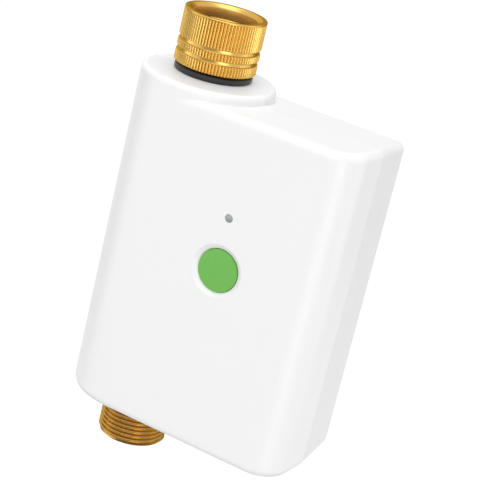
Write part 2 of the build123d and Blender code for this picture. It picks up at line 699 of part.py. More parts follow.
def motor_can():
    can = rod_x(MOTOR_R, (MOTOR_X[0], MOTOR_X[1]), 0, MOTOR_Z)
    can = fillet(can.edges().filter_by(GeomType.CIRCLE).sort_by(Axis.X)[0], 1.2)
    can &= block((0, 60), (-MOTOR_FLAT, MOTOR_FLAT), (MOTOR_Z - 20, MOTOR_Z + 20))
    can += rod_x(3.0, (29.6, MOTOR_X[0] + 1), 0, MOTOR_Z)
    can -= rod_x(AXLE_R + 0.05, (20, 60), 0, MOTOR_Z)
    for y in (-5.5, 5.5):
        can -= rod_x(0.8, (20, 33), y, MOTOR_Z)
    return can


def motor_end_cap():
    cap = rod_x(MOTOR_R - 0.3, (MOTOR_X[1], MOTOR_X[2] - 1), 0, MOTOR_Z)
    cap &= block((0, 60), (-MOTOR_FLAT + 0.3, MOTOR_FLAT - 0.3), (MOTOR_Z - 20, MOTOR_Z + 20))
    cap += rod_x(2.6, (MOTOR_X[1], MOTOR_X[2] + 0.6), 0, MOTOR_Z)
    for z in (-6, 6):
        cap += block((MOTOR_X[1], MOTOR_X[2] + 2), (-1, 1), (MOTOR_Z + z - 0.2, MOTOR_Z + z + 0.2))
    return cap - rod_x(AXLE_R + 0.05, (20, MOTOR_X[2]), 0, MOTOR_Z)


def motor_shaft():
    return rod_x(AXLE_R, (LAYER_3[0] - 0.4, MOTOR_X[2] - 0.3), 0, MOTOR_Z)


# Electronics

def circuit_board():
    board = block(BOARD_X, BOARD_Y, BOARD_Z)
    board = fillet(board.edges().filter_by(Axis.Y), 2)
    for x, z in BOARD_POSTS:
        board -= rod_y(1.2, (-30, 0), x, z)
    return board


def wireless_module():
    plate = block((40, 58), (BOARD_Y[1], BOARD_Y[1] + 0.8), (-76, -51))
    shield = block((41.5, 56.5), (BOARD_Y[1] + 0.8, BOARD_Y[1] + 3.2), (-75, -58))
    shield = fillet(shield.edges().filter_by(Axis.Y), 1)
    return plate + shield


def wire_sockets():
    """Two sockets on the back of the board, for the battery and the motor leads."""
    sockets = []
    for x in (36.0, 50.0):
        socket = block((x, x + 7.5), (BOARD_Y[1], BOARD_Y[1] + 4.6), (-110, -104.6))
        socket -= block((x + 0.8, x + 6.7), (BOARD_Y[1] + 1, BOARD_Y[1] + 6), (-111, -105.6))
        sockets.append(socket)
    return sockets


def tact_switch():
    back = BOARD_Y[0]
    body = block((BUTTON_X - 3, BUTTON_X + 3), (back - 2.8, back), (BUTTON_Z - 3, BUTTON_Z + 3))
    body -= rod_y(1.8, (back - 4, back - 0.3), BUTTON_X, BUTTON_Z)
    return body


def switch_plunger():
    return rod_y(POST_R, (BOARD_Y[0] - 3.6, BOARD_Y[0] - 1.0), BUTTON_X, BUTTON_Z)


def dome_ball(radius, dome, y, x, z):
    """Ball that gives a round face of the given radius a dome whose top lies at y."""
    ball_r = (radius ** 2 + dome ** 2) / (2 * dome)
    return Pos(x, y + ball_r, z) * Sphere(ball_r)


def button_cap():
    """Slightly domed cap with a groove for its O-ring, a rim behind the wall and a post."""
    face = FRONT_Y + BUTTON_DEPTH
    inner = FRONT_Y + WALL
    cap = rod_y(BUTTON_R, (face, inner + 0.05), BUTTON_X, BUTTON_Z)
    cap &= dome_ball(BUTTON_R, BUTTON_DOME, face, BUTTON_X, BUTTON_Z)
    groove_y = (inner - 1.0, inner - 0.1)
    cap -= rod_y(BUTTON_R + 1, groove_y, BUTTON_X, BUTTON_Z) - rod_y(BUTTON_R - 0.8, groove_y, BUTTON_X, BUTTON_Z)
    cap += rod_y(BUTTON_RIM_R, (inner + 0.05, inner + 0.75), BUTTON_X, BUTTON_Z)
    cap += rod_y(POST_R, (inner + 0.7, BOARD_Y[0] - 3.6), BUTTON_X, BUTTON_Z)
    return cap


def button_o_ring():
    return Pos(BUTTON_X, FRONT_Y + WALL - 0.55, BUTTON_Z) * Rot(90, 0, 0) * Torus(BUTTON_R - 0.32, 0.44)


def light_guide():
    """Clear rod with a domed front, a rim behind the wall and a thin foot over the light."""
    face = FRONT_Y + LIGHT_DEPTH
    inner = FRONT_Y + WALL
    guide = rod_y(LIGHT_R - 0.05, (face, inner + 0.05), LIGHT_X, LIGHT_Z)
    guide &= dome_ball(LIGHT_R, LIGHT_DOME, face, LIGHT_X, LIGHT_Z)
    guide += rod_y(LIGHT_R + 0.9, (inner + 0.05, inner + 0.85), LIGHT_X, LIGHT_Z)
    guide += rod_y(1.1, (inner + 0.8, BOARD_Y[0] - 0.9), LIGHT_X, LIGHT_Z)
    return guide


def status_light():
    return block((LIGHT_X - 0.8, LIGHT_X + 0.8), (BOARD_Y[0] - 0.8, BOARD_Y[0]), (LIGHT_Z - 0.6, LIGHT_Z + 0.6))


# Batteries

def battery_holder():
    outer = block(grow(BAY_X, BAY_WALL), (BAY_Y[0] - BAY_WALL, BAY_Y[1]), grow(BAY_Z, BAY_WALL))
    holder = outer - block(BAY_X, (BAY_Y[0], BAY_Y[1] + 1), BAY_Z)
    # Ridge between the cells of the lower layer
    ridge = block((47.2, 47.8), (BAY_Y[0] - 0.1, BAY_Y[0] + 4.5), grow(BAY_Z, -8))
    return holder + ridge


def cell(x, y, up):
    """AA cell with its positive button up or down."""
    middle = sum(BAY_Z) / 2
    low = middle - CELL_LENGTH / 2
    can = Cylinder(CELL_R, CELL_LENGTH)
    can = fillet(can.edges().filter_by(GeomType.CIRCLE), 0.6)
    nub = Pos(0, 0, CELL_LENGTH / 2 + 0.6) * Cylinder(2.75, 1.3)
    body = can + nub
    if not up:
        body = Rot(180, 0, 0) * body
    return Pos(x, y, low + CELL_LENGTH / 2) * body


def cell_places():
    """Each cell's place and whether its button points up, in series order."""
    places = []
    for i, x in enumerate(CELL_X):
        for j, y in enumerate(CELL_Y):
            places.append((x, y, (i + j) % 2 == 0))
    return places


def contact_plates():
    """Flat contacts on the bay's end walls, where the cells' buttons meet them."""
    plates = []
    for x, y, up in cell_places():
        z = BAY_Z[1] - 0.3 if up else BAY_Z[0] + 0.3
        plates.append(Pos(x, y, z) * Box(9, 9, 0.6))
    return plates


def contact_springs():
    """Cone springs on the other ends, drawn as plain cones."""
    springs = []
    half = CELL_LENGTH / 2
    middle = sum(BAY_Z) / 2
    for x, y, up in cell_places():
        side = -1 if up else 1
        wall_z = BAY_Z[0] if up else BAY_Z[1]
        cell_z = middle + side * half
        length = abs(wall_z - cell_z)
        cone = Cone(4.5, 2.6, length)
        if side > 0:
            cone = Rot(180, 0, 0) * cone
        springs.append(Pos(x, y, (wall_z + cell_z) / 2) * cone)
    return springs


def make_all():
    parts = {
        "front_shell": front_shell(),
        "rear_cover": rear_cover(),
        "cover_gasket": cover_gasket(),
        "battery_door": battery_door(),
        "door_gasket": door_gasket(),
        "inlet_nut": inlet_nut(),
        "inlet_spigot": inlet_spigot(),
        "inlet_washer": tube_z(FLANGE_R - 0.1, WASHER_HOLE_R, (FLANGE_TOP, WASHER_TOP)),
        "filter_screen": filter_screen(),
        "collar_ring": tube_z(COLLAR_R, SPIGOT_R + 0.05, (BOSS_TOP, COLLAR_TOP)),
        "inlet_o_ring": o_ring(SPIGOT_R - O_RING / 2, O_RING, INLET_RING_Z),
        "outlet_nipple": outlet_nipple(),
        "outlet_o_ring": o_ring(NECK_R - O_RING / 2, O_RING, OUTLET_RING_Z),
        "valve_body": valve_body(),
        "valve_ball": valve_ball(),
        "upper_ball_seat": ball_seat(1),
        "lower_ball_seat": ball_seat(-1),
        "valve_stem": valve_stem(),
        "stem_o_rings": Compound(children=stem_o_rings()),
        "output_gear": output_gear(),
        "second_gear": second_gear(),
        "first_gear": first_gear(),
        "motor_pinion": motor_pinion(),
        "gear_axles": Compound(children=gear_axles()),
        "gearbox_case": gearbox_case(),
        "gearbox_cover": gearbox_cover(),
        "limit_switches": Compound(children=limit_switches()),
        "motor_can": motor_can(),
        "motor_end_cap": motor_end_cap(),
        "motor_shaft": motor_shaft(),
        "circuit_board": circuit_board(),
        "wireless_module": wireless_module(),
        "wire_sockets": Compound(children=wire_sockets()),
        "tact_switch": tact_switch(),
        "switch_plunger": switch_plunger(),
        "button_cap": button_cap(),
        "button_o_ring": button_o_ring(),
        "light_guide": light_guide(),
        "status_light": status_light(),
        "battery_holder": battery_holder(),
        "contact_plates": Compound(children=contact_plates()),
        "contact_springs": Compound(children=contact_springs()),
    }
    for number, (x, y, up) in enumerate(cell_places(), 1):
        parts[f"battery_{number}"] = cell(x, y, up)
    parts["cover_screws"] = Compound(children=[
        screw_y(x, z, 2.6, SHELL_SCREW_HEAD_Y, 2.0, 1.2, -14.0) for x, z in SHELL_SCREWS])
    parts["door_screws"] = Compound(children=[
        screw_y(x, z, 2.1, BACK_Y - 0.9, 0.85, 0.9, 13.0) for x, z in DOOR_SCREWS])
    parts["board_screws"] = Compound(children=[
        screw_y(x, z, 2.0, BOARD_Y[1], 1.4, 0.85, BOARD_Y[0] - 3.0) for x, z in BOARD_POSTS])
    parts["gearbox_screws"] = Compound(children=[
        screw_x(y, z, 1.9, BOX_X[1] - BOX_SCREW_HEAD, BOX_SCREW_HEAD, 0.85, BOX_X[1] - 8) for y, z in BOX_POSTS])
    parts["flange_screws"] = Compound(children=[
        screw_x(y, z, 1.9, BOX_X[0] - 2.0, 1.4, 0.95, BOX_X[0] + 1.5) for y, z in flange_screw_places()])
    parts["motor_screws"] = Compound(children=[
        screw_x(y, MOTOR_Z, 1.3, BOX_X[1] - BOX_WALL, 0.9, 0.75, BOX_X[1] + 1.6) for y in (-5.5, 5.5)])
    return parts


for node, shape in make_all().items():
    save(shape, node)
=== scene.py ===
import json
import math

import bmesh
import bpy
from mathutils import Matrix, Vector


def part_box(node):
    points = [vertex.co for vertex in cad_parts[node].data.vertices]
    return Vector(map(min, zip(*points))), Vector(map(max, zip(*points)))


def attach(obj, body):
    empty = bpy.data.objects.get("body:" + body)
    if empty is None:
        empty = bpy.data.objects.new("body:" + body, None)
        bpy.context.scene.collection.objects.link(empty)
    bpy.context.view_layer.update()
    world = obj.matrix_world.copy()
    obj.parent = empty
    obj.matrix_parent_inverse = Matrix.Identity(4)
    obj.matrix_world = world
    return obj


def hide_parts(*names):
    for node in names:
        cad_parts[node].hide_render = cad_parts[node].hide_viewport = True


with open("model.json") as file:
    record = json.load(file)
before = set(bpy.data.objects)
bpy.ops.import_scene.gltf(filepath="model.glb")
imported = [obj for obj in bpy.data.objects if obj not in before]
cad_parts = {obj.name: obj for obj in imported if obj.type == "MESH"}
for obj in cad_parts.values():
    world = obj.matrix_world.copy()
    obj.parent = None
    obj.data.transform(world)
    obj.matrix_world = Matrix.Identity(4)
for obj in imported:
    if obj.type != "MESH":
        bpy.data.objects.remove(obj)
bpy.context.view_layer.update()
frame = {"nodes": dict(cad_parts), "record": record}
nodes = frame["nodes"]

# One millimetre in the scene's metres. Pieces and patterns are in millimetres, and the studio is in metres.
MM = 0.001

# Camera: where it looks from, and the point on the front face that it aims at
AZIMUTH = math.radians(25.03)
ELEVATION = math.radians(19.21)
ROLL = math.radians(13.62)
AIM = Vector((39.2, -27.2, -69.0)) * MM
DISTANCE = 624.6 * MM
LENS = 132.8
SENSOR = 36.0

# Studio, in metres: a floor well below the timer, which hangs from its tap, and the point its lamps face
FLOOR_Z = -0.6
FLOOR_SIZE = 12.0
MIDDLE = Vector((0.024, 0, -0.085))

# How bright the air is as soft light on the timer, and what the floor scatters and sends out where it is seen
AIR_LIGHT = 0.64
FLOOR_FAINT = 0.15
FLOOR_GLOW = 0.93

# Swivel nut. The heights of its foot and its grooves count from its mouth, where Z is 0.
NUT_R = 15.3
NUT_HEIGHT = 20.8
NUT_LIP = 0.5
NUT_RISE = 0.4
NUT_FOOT = -20.0
NUT_TEETH = 79
NUT_TOOTH_DEPTH = 0.6
NUT_GROOVE_R = 14.4
NUT_GROOVES = ((-10.5, -12.0), (-14.6, -16.1))

# G3/4 pipe thread, as on garden taps
THREAD_MAJOR_R = 13.22
THREAD_MINOR_R = 12.06
THREAD_PITCH = 1.814

# How finely the pieces are divided: rows of faces for each turn of a thread and over the rise of the nut's
# ridges, and steps round each piece
THREAD_ROWS = 24
RISE_ROWS = 4
STEPS_PER_TOOTH = 6
OUTLET_STEPS = 180
COLLAR_STEPS = 96

# Points of a new piece that are nearer than the first become one, and a point within the second of a height
# or a radius is on it
MERGE = 0.001
NEAR = 0.01

# An edge that turns by more than the first angle is sharp, and on a piece with round crests the second holds
SHARP_ANGLE = math.radians(35)
CREST_ANGLE = math.radians(60)

# Nodes of the brass slot that have no lacquer
BARE_BRASS_NODES = ("valve_ball", "valve_stem", "motor_pinion")

# Moulded plastic: how far apart its changes of colour and of gloss lie, and how far its roughness wanders
DRIFT_MM = 30
FLOW_MM = 8
FLOW_ROUGHNESS = 0.05

# Turned metal: how far apart its mottles lie, and how far its roughness wanders
MOTTLE_MM = 2.5
MOTTLE_ROUGHNESS = 0.03

# A cell's bare ends are where its faces look up or down by more than this, with 1 for straight up
CELL_END = 0.6

# A Mix node's sockets for colours, by number, because its other modes have sockets of the same names
MIX_FACTOR = 0
MIX_A = 6
MIX_B = 7
MIX_RESULT = 2


# Materials

def linear(code):
    """Linear colour of an sRGB hex value."""
    channels = []
    for i in (1, 3, 5):
        value = int(code[i:i + 2], 16) / 255
        channels.append(value / 12.92 if value <= 0.04045 else ((value + 0.055) / 1.055) ** 2.4)
    return (*channels, 1.0)


def per_metre(size_mm):
    """Scale of a pattern whose features are this many millimetres apart."""
    return 1 / (size_mm * MM)


def fill(tree, node, inputs):
    """Sets each input of a node to a value, or links it to another node's output."""
    for socket, value in inputs.items():
        if isinstance(value, bpy.types.NodeSocket):
            tree.links.new(value, node.inputs[socket])
        else:
            node.inputs[socket].default_value = value


def add(tree, kind, inputs=None, **settings):
    """Adds a node with its settings, values and links."""
    node = tree.nodes.new("ShaderNode" + kind)
    for name, value in settings.items():
        setattr(node, name, value)
    fill(tree, node, inputs or {})
    return node


def start(name, colour, roughness, **constants):
    """A new material, with what is the same all over its surface set on the shader itself."""
    material = bpy.data.materials.new(name)
    material.use_nodes = True
    tree = material.node_tree
    shader = tree.nodes["Principled BSDF"]
    fill(tree, shader, {"Base Color": linear(colour), "Roughness": roughness})
    for socket, value in constants.items():
        shader.inputs[socket.replace("_", " ")].default_value = value
    return material, tree, shader


def vary(tree, shader, tint, gloss, relief):
    """Lets noise vary a surface. Each of the three starts with its noise. Then tint has two colours, gloss
    the lowest and highest roughness, and relief the bump's strength and its depth in millimetres."""
    noise, colour, shade = tint
    mixed = add(tree, "Mix", {MIX_FACTOR: noise.outputs["Fac"], MIX_A: linear(colour), MIX_B: linear(shade)},
                data_type="RGBA")
    noise, low, high = gloss
    polish = add(tree, "MapRange", {"Value": noise.outputs["Fac"], "To Min": low, "To Max": high})
    noise, strength, depth_mm = relief
    bump = add(tree, "Bump", {"Height": noise.outputs["Fac"], "Strength": strength,
                              "Distance": depth_mm * MM})
    fill(tree, shader, {"Base Color": mixed.outputs[MIX_RESULT], "Roughness": polish.outputs["Result"],
                        "Normal": bump.outputs["Normal"]})


def moulded(name, colour, shade, roughness, grain_mm, depth_mm, **constants):
    """Moulded plastic: its colour drifts a little to shade, its gloss wanders, and the mould left a grain."""
    material, tree, shader = start(name, colour, roughness, **constants)
    place = add(tree, "TexCoord").outputs["Object"]
    drift = add(tree, "TexNoise", {"Vector": place, "Scale": per_metre(DRIFT_MM), "Detail": 2.0})
    flow = add(tree, "TexNoise", {"Vector": place, "Scale": per_metre(FLOW_MM), "Detail": 3.0})
    grain = add(tree, "TexNoise", {"Vector": place, "Scale": per_metre(grain_mm), "Detail": 2.0})
    vary(tree, shader, tint=(drift, colour, shade),
         gloss=(flow, roughness - FLOW_ROUGHNESS, roughness + FLOW_ROUGHNESS), relief=(grain, 0.6, depth_mm))
    return material


def polished_abs():
    """White ABS from a polished mould: an even soft gloss with a faint orange peel."""
    return moulded("polished_abs", "#F4F4F4", "#F3F3F3", 0.35, 1.6, 0.001, IOR=1.53)


def spark_textured_abs():
    """White ABS from a spark-eroded mould: a fine even grain that keeps its highlights broad."""
    return moulded("spark_textured_abs", "#F2F2F2", "#F0F0F0", 0.5, 0.5, 0.006, IOR=1.53)


def green_abs():
    """Green ABS cap with a satin face, so that its dome shows no sharp highlight."""
    return moulded("green_abs", "#70BB52", "#6BB54E", 0.4, 0.6, 0.003, IOR=1.53)


def smoky_polycarbonate():
    """Light guide of smoky polycarbonate, polished. Its colour is painted shading: lighter at its top and
    darker towards its lower side.
    """
    material, tree, shader = start("smoky_polycarbonate", "#A5A7A9", 0.15, IOR=1.585)
    low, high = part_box("light_guide")
    place = add(tree, "SeparateXYZ", {"Vector": add(tree, "TexCoord").outputs["Object"]})
    # Painted shading: the colour runs from dark grey at the guide's bottom to pale grey at its top
    height = add(tree, "MapRange", {"Value": place.outputs["Z"], "From Min": low.z, "From Max": high.z})
    tint = add(tree, "Mix", {MIX_FACTOR: height.outputs["Result"], MIX_A: linear("#7B7D7F"),
                             MIX_B: linear("#C3C4C5")}, data_type="RGBA")
    fill(tree, shader, {"Base Color": tint.outputs[MIX_RESULT]})
    return material


def black_abs():
    """Black ABS of the gearbox, the switches and the battery holder, with a dull moulded skin."""
    return moulded("black_abs", "#1B1B1D", "#222225", 0.5, 0.8, 0.006, IOR=1.53)


def glass_filled_nylon():
    """Black glass-filled nylon of the valve body: fibres near its skin leave it matt and faintly mottled."""
    return moulded("glass_filled_nylon", "#202124", "#2A2B2E", 0.6, 0.7, 0.012, IOR=1.53)


def ptfe():
    """White PTFE ball seats: waxy and without gloss."""
    return moulded("ptfe", "#EDEDE8", "#E4E4DD", 0.6, 0.6, 0.003, IOR=1.38)


def natural_acetal():
    """Natural acetal gears: creamy, and slightly waxy where the teeth rub."""
    return moulded("natural_acetal", "#E9E5D6", "#E0DBC9", 0.38, 0.6, 0.003, IOR=1.48)


def natural_nylon():
    """Undyed nylon sockets and switch plunger, a warm off-white."""
    return moulded("natural_nylon", "#E4DFCF", "#DAD3C0", 0.45, 0.6, 0.003, IOR=1.53)


def lamp_resin():
    """Cast resin of the lamp chip, pale yellow from its phosphor."""
    return moulded("lamp_resin", "#EFE3A8", "#E6D68E", 0.25, 0.5, 0.001, IOR=1.5)


def epdm_rubber():
    """Black EPDM rubber: dark, with a soft bloom and a slightly open grain from its mould."""
    material, tree, shader = start("epdm_rubber", "#111113", 0.5, IOR=1.52, Sheen_Weight=0.1,
                                   Sheen_Roughness=0.4)
    place = add(tree, "TexCoord").outputs["Object"]
    bloom = add(tree, "TexNoise", {"Vector": place, "Scale": per_metre(3), "Detail": 4.0})
    grain = add(tree, "TexNoise", {"Vector": place, "Scale": per_metre(0.4), "Detail": 2.0})
    vary(tree, shader, tint=(bloom, "#111113", "#1A1A1C"), gloss=(bloom, 0.36, 0.56),
         relief=(grain, 0.5, 0.008))
    return material


def turned(name, colour, shade, roughness, line_mm, axis, depth_mm=0.003, **constants):
    """Metal off the lathe: fine rings round one axis, a polish that wanders, and a faintly mottled colour."""
    material, tree, shader = start(name, colour, roughness, Metallic=1.0, **constants)
    place = add(tree, "TexCoord").outputs["Object"]
    along = [1.0 if letter == axis else 0.0 for letter in "XYZ"]
    rings = add(tree, "Mapping", {"Vector": place, "Scale": along}, vector_type="POINT")
    lines = add(tree, "TexNoise", {"Vector": rings.outputs["Vector"], "Scale": per_metre(line_mm),
                                   "Detail": 3.0})
    mottle = add(tree, "TexNoise", {"Vector": place, "Scale": per_metre(MOTTLE_MM), "Detail": 3.0})
    vary(tree, shader, tint=(mottle, colour, shade),
         gloss=(mottle, roughness - MOTTLE_ROUGHNESS, roughness + MOTTLE_ROUGHNESS),
         relief=(lines, 0.5, depth_mm))
    return material


def lacquered_brass():
    """Turned brass of the nut and spigot under a thin clear lacquer: a warm gold with pale highlights."""
    return turned("lacquered_brass", "#D9B260", "#D3AA58", 0.25, 0.4, "Z", depth_mm=0.0008,
                  Specular_Tint=linear("#F0CC84"), Coat_Weight=0.1, Coat_Roughness=0.15)


def threaded_brass():
    """The outlet's cut thread, browner and a little darker than the nut: partly unpolished after the die, and
    partly painted shade for the housing's shadow over it.
    """
    return turned("threaded_brass", "#CDA65F", "#C29B54", 0.28, 0.4, "Z", depth_mm=0.0008,
                  Specular_Tint=linear("#E0BC80"))


def bored_brass():
    """The nut's bore, left matt from the boring tool, in a paler brass than the nut: the paler colour is
    painted light, so that the bore stays light inside.
    """
    return turned("bored_brass", "#E6BC6C", "#DDB160", 0.5, 0.4, "Z")


def bare_brass():
    """Brass of the ball, stem and pinion, turned along the gearbox's shafts and left bare."""
    return turned("bare_brass", "#D8B06A", "#CBA35C", 0.22, 0.3, "X")


def stainless_steel():
    """Stainless screws, axles and screen, turned or drawn, cool grey."""
    return turned("stainless_steel", "#C4C4C2", "#B4B4B2", 0.3, 0.25, "Y")


def nickel_plated_steel():
    """Steel motor can under bright nickel plate, with fine rings round it."""
    return turned("nickel_plated_steel", "#CFCDC8", "#C2C0BB", 0.28, 0.5, "X")


def tinned_shield():
    """Sheet shield of the wireless module, tinned and rolled."""
    return turned("tinned_shield", "#CBCBC9", "#BCBCBA", 0.35, 0.4, "X")


def nickel_spring_steel():
    """Contact plates and coils of spring steel under nickel plate."""
    return turned("nickel_spring_steel", "#CFCBC2", "#C0BCB3", 0.27, 0.3, "Z")


def solder_resist():
    """Circuit board under green solder resist: tracks of two depths of green on a 1.3 mm grid, glossy."""
    material, tree, shader = start("solder_resist", "#0F4A26", 0.3, IOR=1.55)
    place = add(tree, "TexCoord").outputs["Object"]
    upright = add(tree, "Mapping", {"Vector": place, "Rotation": (math.pi / 2, 0, 0)}, vector_type="POINT")
    tracks = add(tree, "TexBrick", {"Vector": upright.outputs["Vector"], "Scale": 1.0,
                                    "Color1": linear("#0D4522"), "Color2": linear("#0F4A26"),
                                    "Mortar": linear("#1C6636"), "Brick Width": 9 * MM,
                                    "Row Height": 1.3 * MM, "Mortar Size": 0.12 * MM})
    weave = add(tree, "TexNoise", {"Vector": place, "Scale": per_metre(0.6), "Detail": 2.0})
    bump = add(tree, "Bump", {"Height": weave.outputs["Fac"], "Strength": 0.4, "Distance": 0.01 * MM})
    fill(tree, shader, {"Base Color": tracks.outputs["Color"], "Normal": bump.outputs["Normal"]})
    return material


def shrink_sleeve():
    """AA cell: a dark blue shrink sleeve on its side and bare nickel-plated steel on its two ends."""
    material, tree, shader = start("shrink_sleeve", "#26415F", 0.3, IOR=1.5)
    coordinates = add(tree, "TexCoord")
    facing = add(tree, "SeparateXYZ", {"Vector": coordinates.outputs["Normal"]})
    upward = add(tree, "Math", {0: facing.outputs["Z"]}, operation="ABSOLUTE")
    steel = add(tree, "Math", {0: upward.outputs["Value"], 1: CELL_END}, operation="GREATER_THAN")
    wrinkle = add(tree, "TexNoise", {"Vector": coordinates.outputs["Object"], "Scale": per_metre(4),
                                     "Detail": 3.0})
    sleeve = add(tree, "Mix", {MIX_FACTOR: wrinkle.outputs["Fac"], MIX_A: linear("#243D5A"),
                               MIX_B: linear("#2B4969")}, data_type="RGBA")
    tint = add(tree, "Mix", {MIX_FACTOR: steel.outputs["Value"], MIX_A: sleeve.outputs[MIX_RESULT],
                             MIX_B: linear("#C9C7C2")}, data_type="RGBA")
    bump = add(tree, "Bump", {"Height": wrinkle.outputs["Fac"], "Strength": 0.3, "Distance": 0.03 * MM})
    fill(tree, shader, {"Base Color": tint.outputs[MIX_RESULT], "Metallic": steel.outputs["Value"],
                        "Normal": bump.outputs["Normal"]})
    return material


def finish_for_slots():
    """One material for each of the record's slots."""
    return {
        "shell_plastic": polished_abs(),
        "cover_plastic": spark_textured_abs(),
        "button_green": green_abs(),
        "light_lens": smoky_polycarbonate(),
        "turned_brass": lacquered_brass(),
        "seal_rubber": epdm_rubber(),
        "stainless_steel": stainless_steel(),
        "valve_plastic": glass_filled_nylon(),
        "seat_plastic": ptfe(),
        "gear_plastic": natural_acetal(),
        "gearbox_plastic": black_abs(),
        "motor_steel": nickel_plated_steel(),
        "board_laminate": solder_resist(),
        "shield_metal": tinned_shield(),
        "socket_plastic": natural_nylon(),
        "light_chip": lamp_resin(),
        "contact_metal": nickel_spring_steel(),
        "battery_sleeve": shrink_sleeve(),
    }


def dress_nodes(finishes):
    """Gives every CAD node the finish of its slot, except for the brass that has no lacquer."""
    bare = bare_brass()
    for part in frame["record"]["subparts"]:
        name = part["node"]
        finish = bare if name in BARE_BRASS_NODES else finishes[part["material_slot"]]
        for slot in nodes[name].material_slots:
            slot.material = finish


# Pieces

def lathe(corners, steps, rows=()):
    """Turns a closed outline once round Z. A corner is (radius, z), and a third number rounds it, from that
    far away on. Each pair in rows is a corner and how many rows the edge that ends there is divided into."""
    bm = bmesh.new()
    points = [bm.verts.new((corner[0] * MM, 0, corner[1] * MM)) for corner in corners]
    edges = [bm.edges.new((point, points[i - 1])) for i, point in enumerate(points)]
    for corner, count in rows:
        bmesh.ops.subdivide_edges(bm, edges=[edges[corners.index(corner)]], cuts=count - 1)
    for corner in corners:
        if len(corner) == 3:
            spot = Vector((corner[0] * MM, 0, corner[1] * MM))
            point = min(bm.verts, key=lambda vert: (vert.co - spot).length)
            bmesh.ops.bevel(bm, geom=[point], offset=corner[2] * MM, offset_type="OFFSET", segments=3,
                            profile=0.5, affect="VERTICES", material=-1)
    bmesh.ops.spin(bm, geom=bm.verts[:] + bm.edges[:], cent=(0, 0, 0), axis=(0, 0, 1), dvec=(0, 0, 0),
                   angle=2 * math.pi, steps=steps, use_merge=True)
    return bm


def cut(bm, wall):
    """Moves each point along its own radius to where wall(radius, turn, z) says, in millimetres."""
    for vert in bm.verts:
        x, y, z = vert.co / MM
        radius = math.hypot(x, y)
        vert.co.xy *= wall(radius, math.atan2(y, x), z) / radius


def thread_rows(top, end):
    """How many rows of faces a thread between two heights has."""
    return round((top - end) / THREAD_PITCH * THREAD_ROWS)


def thread_depth(top, z):
    """How deep a thread that starts at top is cut at z. It gets its full depth over its first turn."""
    return (THREAD_MAJOR_R - THREAD_MINOR_R) * min(1.0, (top - z) / THREAD_PITCH)


def thread_wave(turn, z):
    """0 at a thread's root and 1 at its crest, for a right-hand helix. A pipe thread's are both rounded."""
    return 0.5 + 0.5 * math.cos(2 * math.pi * z / THREAD_PITCH - turn)


def piece(name, bm, finish, body, sharp_angle=SHARP_ANGLE):
    """Turns a bmesh into a finished object, in the given material, that rides on a body."""
    bmesh.ops.remove_doubles(bm, verts=bm.verts[:], dist=MERGE * MM)
    bmesh.ops.recalc_face_normals(bm, faces=bm.faces[:])
    for face in bm.faces:
        face.smooth = True
    for edge in bm.edges:
        edge.smooth = edge.calc_face_angle(0) < sharp_angle
    mesh = bpy.data.meshes.new(name)
    bm.to_mesh(mesh)
    bm.free()
    mesh.materials.append(finish)
    obj = bpy.data.objects.new(name, mesh)
    bpy.context.scene.collection.objects.link(obj)
    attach(obj, body)
    return obj


def inlet_nut(brass, bore_brass):
    """Brass swivel nut: a plain lip, three bands of round ridges, two bright grooves and the tap's thread."""
    mouth_r, cone_end = 13.5, -1.1
    thread_top, thread_end = -4.5, -11.5
    washer_r, washer_floor = 13.0, -13.4
    flange_r, shoulder = 12.0, -16.2
    spigot_r, foot_r = 10.55, 14.0
    rise_corner = (NUT_R, -NUT_LIP - NUT_RISE)
    thread_corner = (THREAD_MINOR_R, thread_top)
    corners = [(mouth_r, 0, 0.15), (NUT_R, 0, 0.2), (NUT_R, -NUT_LIP), rise_corner]
    for top, bottom in NUT_GROOVES:
        corners += [(NUT_R, top, 0.35), (NUT_GROOVE_R, top, 0.2),
                    (NUT_GROOVE_R, bottom, 0.2), (NUT_R, bottom, 0.35)]
    corners += [
        (NUT_R, NUT_FOOT, 0.35), (NUT_R - NUT_TOOTH_DEPTH, NUT_FOOT), (foot_r, -NUT_HEIGHT, 0.2),
        (spigot_r, -NUT_HEIGHT), (spigot_r, shoulder), (flange_r, shoulder), (flange_r, washer_floor),
        (washer_r, washer_floor), (washer_r, thread_end), (THREAD_MINOR_R, thread_end), thread_corner,
        (THREAD_MINOR_R, cone_end, 0.3),
    ]
    bm = lathe(corners, NUT_TEETH * STEPS_PER_TOOTH,
               [(rise_corner, RISE_ROWS), (thread_corner, thread_rows(thread_top, thread_end))])

    def wall(radius, turn, z):
        """Where the nut's wall is after its ridges and its thread are cut."""
        if radius > NUT_GROOVE_R and NUT_FOOT - NEAR < z < -NUT_LIP:
            ease = min(1.0, (-NUT_LIP - z) / NUT_RISE)
            depth = NUT_TOOTH_DEPTH * math.sin(ease * math.pi / 2)
            return min(radius, NUT_R - depth * (1 - abs(math.cos(NUT_TEETH * turn / 2))))
        if abs(radius - THREAD_MINOR_R) < NEAR and thread_end < z < thread_top:
            return THREAD_MINOR_R + thread_depth(thread_top, z) * thread_wave(turn, z)
        return radius

    cut(bm, wall)
    nut = piece("inlet_nut_knurled", bm, brass, "nut", CREST_ANGLE)
    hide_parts("inlet_nut")
    # Soft light that bounced off the bright brass would tint the white boss under the nut
    nut.visible_diffuse = False
    # The bore's faces take the paler brass, whose colour is painted light inside the bore
    nut.data.materials.append(bore_brass)
    for face in nut.data.polygons:
        if face.center.xy.length < mouth_r * MM and face.center.z < cone_end * MM:
            face.material_index = 1


